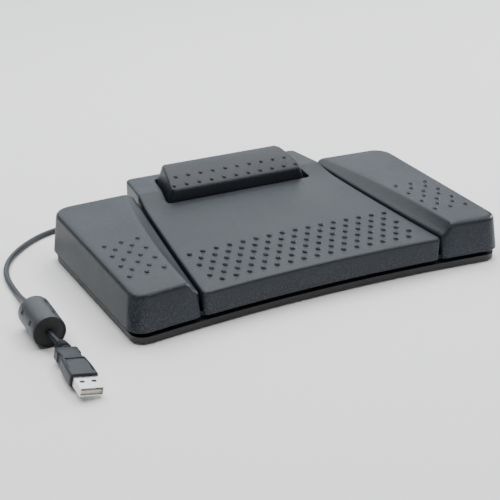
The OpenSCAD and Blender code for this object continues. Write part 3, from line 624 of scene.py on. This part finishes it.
def side_dots():
    """Grip dots of the right pedal: slanting columns of four with three between them."""
    start, column = Vector((10.083, 2.103)), Vector((1.1997, -0.1231))
    step, stagger = Vector((0.0514, -1.5259)), Vector((0.7388, -0.8353))
    spots = []
    for i in range(3):
        for half, count in ((0, 4), (1, 3)):
            if half and i == 2:
                continue
            for k in range(count):
                x, y = PITCH * (start + i * column + k * step + half * stagger)
                spots.append((x, y + ROW_Y))
    return spots


def build_side(side):
    bm = bmesh.new()

    def foot(i):
        return side_outline(i, i)

    def top_at(i):
        return side_outline(DRAFT + i, 0.3 + i)

    def low_z(x, y):
        along_gap = x < side_x(y) + 4 and -71 < y < 55
        return RAISED_SKIRT_Z if along_gap else SKIRT_Z

    def on_gap(x, y):
        return x < side_x(y) + 1.2

    edge = top_at(0)
    drop = drop_over([(segments(edge, lambda x, y: not on_gap(x, y)), 3.0),
                      (segments(edge, on_gap), 1.2)])
    stations = [-68 + 4 * k for k in range(30)]
    lines = [[(crease_x(y) + off, y) for y in stations] for off in (-1.0, -0.4, 0.2, 0.8)]
    shell(bm, foot, top_at, low_z, side_top, drop, 3.0, lines, spacing=3.4)
    for x, y in side_dots():
        add_dome(bm, x, y, side_top, 1.5, 0.95)
    bmesh.ops.recalc_face_normals(bm, faces=bm.faces)
    starts, ends = segments(foot(0))
    if side < 0:
        bmesh.ops.scale(bm, vec=(-1, 1, 1), verts=bm.verts)
        bmesh.ops.reverse_faces(bm, faces=bm.faces)
        starts, ends = [(-x, y) for x, y in starts], [(-x, y) for x, y in ends]
    name = "right_pedal" if side > 0 else "left_pedal"
    carry_inside(bm, name, lambda x, y: side_top(abs(x), y), starts, ends, DRAFT + WALL + 1)
    piece = to_piece(bm, name + "_cap", PEDAL, name, recalc=False)
    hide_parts(name)


def build_rear():
    bm = bmesh.new()
    edge = rear_outline(0)
    drop = drop_over([(segments(edge, lambda x, y: y < 60), 1.4),
                      (segments(edge, lambda x, y: y >= 60), 2.8)])

    shell(bm, lambda i: rear_outline(i, 1), rear_outline, lambda x, y: 20.6, rear_top, drop, 2.8,
          spacing=3.4, belt_z=lambda x, y: 26.5 + 5.5 * (y - REAR_FRONT_Y) / 24)
    for row, (count, y) in enumerate(((11, 40.8), (10, 47.9))):
        for k in range(count):
            add_dome(bm, (k - (count - 1) / 2) * 8.6, y, rear_top, 1.4, 0.85)
    bmesh.ops.recalc_face_normals(bm, faces=bm.faces)
    starts, ends = segments(edge)
    foot_starts, foot_ends = segments(rear_outline(0, 1))
    starts, ends = starts + foot_starts, ends + foot_ends
    carry_inside(bm, "rear_pedal", rear_top, starts, ends, WALL + 0.15)
    piece = to_piece(bm, "rear_pedal_cap", PEDAL, "rear_pedal", recalc=False)
    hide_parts("rear_pedal")


# ---------- springs ----------
SPRING_R, SPRING_WIRE = 3.4, 0.6
# node: (joint, centres of the feet, height, turns, share of the height left when pressed)
SPRINGS = {
    "left_spring": ("left_press", [(-97, -46, 4.5)], 15.3, 7, 0.88),
    "right_spring": ("right_press", [(97, -46, 4.5)], 15.3, 7, 0.88),
    "centre_springs": ("centre_press", [(-52, -46, 7.5), (52, -46, 7.5)], 8.7, 5, 0.77),
    "rear_springs": ("rear_press", [(-19.5, 56.5, 4.5), (19.5, 56.5, 4.5)], 14.7, 7, 0.90),
}


def build_springs():
    """Coil springs, built at their full height."""
    per_turn, around = 20, 8
    up = Vector((0, 0, 1))
    angles = [2 * pi * j / around for j in range(around)]
    for node, (joint, feet, height, turns, keep) in SPRINGS.items():
        bm = bmesh.new()
        for x, y, z in feet:
            rings = []
            for k in range(per_turn * turns + 1):
                a = 2 * pi * k / per_turn
                out = Vector((cos(a), sin(a), 0))
                rise = SPRING_WIRE + (height - 2 * SPRING_WIRE) * k / (per_turn * turns)
                middle = Vector((x, y, z + rise)) + SPRING_R * out
                ring = [middle + SPRING_WIRE * (cos(b) * out + sin(b) * up) for b in angles]
                rings.append([bm.verts.new(v * MM) for v in ring])
            for a, b in zip(rings, rings[1:]):
                strip(bm, a, b)
            bm.faces.new(rings[0])
            bm.faces.new(rings[-1])
        piece = to_piece(bm, node + "_wire", SPRING, "base", angle=60)
        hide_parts(node)
        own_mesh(piece)


# ---------- lead ----------
LEAD_R = 1.7
COIL_AT = (17.5, 104)
# From the boot down to the floor; LEAD_ROUTE goes on from the coil to the plug
LEAD_START = [(40, 87.8, 6.6), (40, 90, 6.2), (40, 93, 5.3), (40, 96, 4.2), (40, 99, 3.1),
              (40, 101.6, 2.2)]
COIL_RADII, COIL_LAYERS = (22.5, 19, 15.5), (1.8, 5.3, 8.8, 12.3)
COIL_SPANS = ((0, 280), (320, 640), (680, 960))  # degrees that each turn keeps its radius
COIL_LAYER_TURN, COIL_FIRST, COIL_END = 1000, -20, 3780
LEAD_ROUTE = [
    (-5, 98, 11.4), (-7, 92, 9.8), (-12, 87.6, 8), (-18, 85.6, 6.4), (-26, 85, 4.6),
    (-36, 85.6, 2.8), (-48, 87.4, 1.8), (-60, 89.4, 1.8), (-72, 90.8, 1.8), (-84, 91, 1.8),
    (-96, 89.8, 1.8), (-108, 86.8, 1.8), (-118, 82.6, 1.8), (-127, 76.6, 1.8), (-135, 69.6, 1.8),
    (-142, 61.8, 1.8), (-147.4, 53.6, 1.8), (-151.2, 45, 1.8), (-153.6, 36, 1.8),
    (-154.8, 27, 1.8), (-155.2, 18, 1.8), (-155.4, 9, 2.2), (-155.8, 0, 3.6), (-156.2, -9, 5.8),
    (-156.6, -18, 8.1), (-157, -27, 9.05), (-157.3, -36, 9.05), (-157.5, -46, 9.05),
    (-157.6, -53, 8.9), (-157.1, -57.4, 7.9), (-156, -60.4, 6.4), (-155, -64, 5)]


def coil_knots():
    """(turned so far in degrees, radius, height), wound inwards and outwards by turns."""
    knots = []
    for layer, z in enumerate(COIL_LAYERS):
        start = COIL_FIRST + COIL_LAYER_TURN * layer
        radii = COIL_RADII[::-1] if layer % 2 else COIL_RADII
        for r, (a, b) in zip(radii, COIL_SPANS):
            knots += [(max(start + a, 0), r, z), (min(start + b, COIL_END), r, z)]
    return knots


def coil_points(step=10):
    knots = coil_knots()
    points = []
    for turned in range(0, COIL_END + 1, step):
        k = max(i for i, knot in enumerate(knots[:-1]) if knot[0] <= turned)
        (a, r0, z0), (b, r1, z1) = knots[k], knots[k + 1]
        t = (turned - a) / (b - a)
        t = t * t * (3 - 2 * t)
        r, z = r0 + (r1 - r0) * t, z0 + (z1 - z0) * t
        points.append((COIL_AT[0] + r * cos(radians(turned)),
                       COIL_AT[1] + r * sin(radians(turned)), z))
    return points


def smooth_path(points, parts):
    """Points of a Catmull-Rom curve through the given ones."""
    p = [Vector(q) for q in points]
    p = [2 * p[0] - p[1]] + p + [2 * p[-1] - p[-2]]
    out = []
    for k in range(1, len(p) - 2):
        a, b, c, d = p[k - 1:k + 3]
        for i in range(parts):
            t = i / parts
            out.append(0.5 * (2 * b + (c - a) * t + (2 * a - 5 * b + 4 * c - d) * t * t
                              + (3 * b - 3 * c + d - a) * t ** 3))
    return out + [p[-2]]


def build_lead(carried):
    head = smooth_path(LEAD_START + coil_points()[:3], 4)
    head = head[:4 * len(LEAD_START) + 1]
    tail = smooth_path(coil_points()[-3:] + LEAD_ROUTE, 4)[8:]
    path = head[:-1] + [Vector(q) for q in coil_points()] + tail[1:]
    data = bpy.data.curves.new("lead", "CURVE")
    data.dimensions = "3D"
    data.bevel_depth = LEAD_R * MM
    data.bevel_resolution = 5
    data.use_fill_caps = True
    spline = data.splines.new("POLY")
    spline.points.add(len(path) - 1)
    for point, q in zip(spline.points, path):
        point.co = (q.x * MM, q.y * MM, q.z * MM, 1)
    spline.use_smooth = True
    lead = bpy.data.objects.new("lead", data)
    lead.data.materials.append(LEAD)
    bpy.context.scene.collection.objects.link(lead)
    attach(lead, "base")
    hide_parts("lead_to_coil", "lead_coil", "lead_to_plug")
    measured = sum((b - a).length for a, b in zip(path, path[1:])) * MM
    print("lead length", round(measured, 4))


def lathe_open(bm, profile, matrix, around, material=0, dents=()):
    """Turned surface round the local Z axis, from (radius, height) pairs.

    A dent is (angle, half its width in degrees, depth, from height, to height).
    """
    rings = []
    for r, z in profile:
        ring = []
        for k in range(around):
            a = 2 * pi * k / around
            cut = 0
            for centre, half, depth, z0, z1 in dents:
                if abs((degrees(a) - centre + 180) % 360 - 180) < half and z0 <= z <= z1:
                    cut = max(cut, depth)
            out = r - cut
            ring.append(bm.verts.new(matrix @ Vector((out * cos(a), out * sin(a), z)) * MM))
        rings.append(ring)
    before = len(bm.faces)
    for a, b in zip(rings, rings[1:]):
        strip(bm, a, b)
    bm.faces.ensure_lookup_table()
    for face in bm.faces[before:]:
        face.material_index = material
    return rings


def lathe(bm, profile, matrix, around):
    """Turned body, closed at both ends."""
    rings = lathe_open(bm, profile, matrix, around)
    bm.faces.new(rings[0])
    bm.faces.new(rings[-1])


def build_lead_boot():
    """Ribbed boot where the lead leaves the base."""
    y0 = 76.7
    profile = [(3.3, y0), (3.35, y0 + 0.3), (3.25, y0 + 2.6), (2.9, y0 + 3.0), (2.55, y0 + 3.15),
               (2.5, y0 + 3.9), (2.85, y0 + 4.1), (3.05, y0 + 4.5), (2.9, y0 + 6.4),
               (2.6, y0 + 6.8), (2.35, y0 + 6.95), (2.3, y0 + 7.7), (2.5, y0 + 7.9),
               (2.65, y0 + 8.3), (2.4, y0 + 10.8), (2.2, y0 + 11.3), (1.75, y0 + 11.4)]
    profile = [(LEAD_R, 68), (LEAD_R, y0 - 0.05)] + profile
    bm = bmesh.new()
    place = Matrix.Translation((40, 0, 6.6)) @ Matrix.Rotation(radians(-90), 4, "X")
    lathe(bm, profile, place, around=40)
    piece = to_piece(bm, "lead_boot_skin", LEAD, "base", angle=50)
    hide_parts("lead_boot")


# ---------- ferrite case ----------
PARTINGS = (307, 139)
CLIP_ANGLES = PARTINGS + (205,)
CLIP_L = 4.2


def build_ferrite():
    r, length = 9.05, 27.4
    place = (Matrix.Translation((-157.7, -55, r)) @ Matrix.Rotation(radians(-1.3), 4, "Z")
             @ Matrix.Rotation(radians(-90), 4, "X"))
    bm = bmesh.new()
    # the side, with two fine parting grooves along it and clip pockets across them
    side = [(r - 0.5, 0.0), (r - 0.15, 0.12), (r, 0.5)]
    side += [(r, z) for z in (4, 4.3, 8.3, 8.6, 13.7, 17.9, 18.2, 22.2, 22.5)]
    side += [(r, length - 0.5), (r - 0.15, length - 0.12), (r - 0.5, length)]
    around = 120
    marks = [(angle, 3.2, 0.2, 0, length) for angle in PARTINGS]
    marks += [(angle, 8, 0.6, low, low + CLIP_L) for angle in CLIP_ANGLES for low in (4.2, 18.1)]
    ends = []
    for flip in (0, 1):
        z = (lambda v: length - v) if flip else (lambda v: v)
        ends.append([(r - 0.5, z(0.0)), (r - 1.0, z(0.05)), (r - 1.15, z(0.55)),
                     (4.6, z(0.62)), (2.6, z(0.65)), (2.2, z(0.75)), (1.9, z(0.75))])
    lathe_open(bm, side, place, around, 0, marks)
    # end faces and bore take material 1, the darker copy of the case plastic: painted shade
    for profile in ends:
        lathe_open(bm, profile, place, around, 1)
    lathe_open(bm, [(1.9, 0.75), (1.9, length - 0.75)], place, around, 1)
    bmesh.ops.remove_doubles(bm, verts=bm.verts, dist=0.00001)
    piece = to_piece(bm, "ferrite_case", [CASE, SHADED_CASE_END], "base", angle=40)
    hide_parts("ferrite_cover")
    # hooks that hold the two halves together
    hooks = bmesh.new()
    for angle in PARTINGS:
        for z in (6.3, 20.2):
            turn = (place @ Matrix.Rotation(radians(angle), 4, "Z")
                    @ Matrix.Translation((r - 0.42, 0, z)))
            size = Matrix.Diagonal((0.5, 1.3, 2.6, 1))
            bmesh.ops.create_cube(hooks, size=1.0, matrix=Matrix.Scale(MM, 4) @ turn @ size)
    bmesh.ops.bevel(hooks, geom=hooks.edges[:], offset=0.12 * MM, segments=2, affect="EDGES")
    latches = to_piece(hooks, "ferrite_hooks", CASE, "base", angle=40)
    return [piece, latches, nodes["ferrite_core"]]


# ---------- plug ----------
PLUG_H = 7.4
BOOT_L, NECK_L, GRIP_L = 8, 12, 18.6
BODY_L = BOOT_L + NECK_L + GRIP_L


def plug_place():
    """Root of the boot on the floor, the plug rolled a little on its side."""
    return (Matrix.Translation((-154.9, -63, 4.9)) @ Matrix.Rotation(radians(-2.3), 4, "Z")
            @ Matrix.Rotation(radians(10), 4, "Y"))


def section(bm, place, y, half_w, half_h, r):
    """Rounded cross-section of the plug, y from the root of its boot."""
    points = rounded([(-half_w, -half_h, r), (half_w, -half_h, r), (half_w, half_h, r),
                      (-half_w, half_h, r)], 5)
    return [bm.verts.new(place @ Vector((x, -y, z)) * MM) for x, z in points]


def build_plug():
    place = plug_place()
    # ribbed boot
    bm = bmesh.new()
    profile = [(1.75, 0.0), (3.0, 0.05), (3.4, 0.35), (3.6, 1.2), (3.4, 1.55), (2.7, 1.75),
               (2.7, 2.35), (3.5, 2.6), (3.8, 2.95), (3.85, 3.6), (3.6, 3.9), (2.9, 4.05),
               (2.9, 4.6), (3.7, 4.85), (4.1, 5.25), (4.15, 5.9), (3.85, 6.2), (3.0, 6.35),
               (3.0, 6.9), (3.4, 7.1), (3.4, 8.1)]
    lathe(bm, profile, place @ Matrix.Rotation(radians(90), 4, "X"), around=40)
    boot = to_piece(bm, "plug_boot_skin", PLUG, "base", angle=45)
    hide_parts("plug_boot")
    # body: narrow shoulder, then the grip, which widens towards the shell
    bm = bmesh.new()
    h = PLUG_H / 2
    y1 = BOOT_L + NECK_L
    stations = [  # (y, half width, half height, corner radius)
        (BOOT_L, 5.0, h - 1.1, 1.0), (BOOT_L + 0.25, 5.7, h - 0.6, 1.4),
        (BOOT_L + 0.9, 6.2, h - 0.35, 1.5), (BOOT_L + 6.0, 6.3, h - 0.3, 1.5),
        (BOOT_L + 6.6, 5.6, h - 0.35, 1.3), (y1 - 1.6, 5.5, h - 0.3, 1.3),
        (y1 - 0.6, 5.9, h - 0.25, 1.4), (y1, 6.2, h - 0.15, 1.4),
        (y1 + 0.8, 6.4, h, 1.4), (y1 + 1.1, 6.45, h, 1.4)]
    for y, w in ((4, 6.75), (7, 6.95), (10, 7.05), (13, 7.1), (16.6, 7.1)):
        stations.append((y1 + y, w, h, 1.4))
    stations += [
        (BODY_L - 0.5, 7.1, h, 1.3), (BODY_L - 0.12, 6.9, h - 0.2, 1.2),
        (BODY_L, 6.6, h - 0.5, 1.0),
        (BODY_L + 0.02, 6.1, 2.35, 0.3), (BODY_L - 4, 6.1, 2.35, 0.3)]  # mouth round the shell
    rings = [section(bm, place, *station) for station in stations]
    for a, b in zip(rings, rings[1:]):
        strip(bm, a, b)
    bm.faces.new(rings[0])
    bm.faces.new(rings[-1])
    bmesh.ops.recalc_face_normals(bm, faces=bm.faces)
    # panels let into both faces of the grip
    inward = place.to_3x3() @ Vector((0, 0, 1))
    for sign in (1, -1):
        bm.faces.ensure_lookup_table()
        chosen = []
        for face in bm.faces:
            local = place.inverted() @ (face.calc_center_median() / MM)
            if face.normal.dot(inward * sign) > 0.95 and y1 + 1.1 < -local.y < y1 + 16.6:
                chosen.append(face)
        bmesh.ops.inset_region(bm, faces=chosen, thickness=0.5 * MM, depth=0.0)
        bmesh.ops.inset_region(bm, faces=chosen, thickness=0.12 * MM, depth=-0.45 * MM)
    body = to_piece(bm, "plug_grip", PLUG, "base", angle=38)
    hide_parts("plug_body")
    return [boot, body] + [nodes[n] for n in ("plug_shell", "plug_tongue", "plug_contacts")]


# ---------- stage ----------
def add_light(name, at, aim, size, power, color=(1, 1, 1)):
    data = bpy.data.lights.new(name, "AREA")
    data.shape = "RECTANGLE"
    data.size, data.size_y = size
    data.energy = power
    data.color = color
    light = bpy.data.objects.new(name, data)
    light.location = at
    light.rotation_euler = (Vector(aim) - Vector(at)).to_track_quat("-Z", "Y").to_euler()
    bpy.context.scene.collection.objects.link(light)


def build_stage():
    bm = bmesh.new()
    bmesh.ops.create_grid(bm, x_segments=4, y_segments=4, size=4.0)
    mesh = bpy.data.meshes.new("floor")
    bm.to_mesh(mesh)
    bm.free()
    floor = bpy.data.objects.new("floor", mesh)
    paper = finish_of("floor_paper", (0.86, 0.86, 0.86), 0.9, grain=300, bump=0.05, spread=0.01)
    mesh.materials.append(paper)
    bpy.context.scene.collection.objects.link(floor)
    world = bpy.data.worlds.new("studio")
    world.use_nodes = True
    world.node_tree.nodes["Background"].inputs["Color"].default_value = (1, 1, 1, 1)
    world.node_tree.nodes["Background"].inputs["Strength"].default_value = 0.07
    bpy.context.scene.world = world
    add_light("overhead", (0.0, 0.25, 1.1), (0, 0, 0), (1.7, 1.2), 30)
    add_light("back", (0.35, 1.5, 0.8), (0, 0, 0), (2.4, 1.0), 17, (0.86, 0.94, 1.0))
    add_light("key_right", (0.75, -0.7, 1.35), (0, 0, 0), (0.35, 0.35), 5)
    add_light("front", (0.25, -1.6, 0.5), (0, 0, 0.02), (0.9, 0.4), 2.6)
    add_light("side_right", (1.3, 0.1, 0.45), (0, 0, 0.03), (0.25, 0.35), 11)
    add_light("side_left", (-1.2, 0.5, 0.6), (0, 0, 0.03), (0.5, 0.5), 0.4)


add_camera()
build_lead(build_ferrite() + build_plug())
build_lead_boot()
build_centre()
build_side(1)
build_side(-1)
build_rear()
build_springs()
dress_cad()
build_stage()
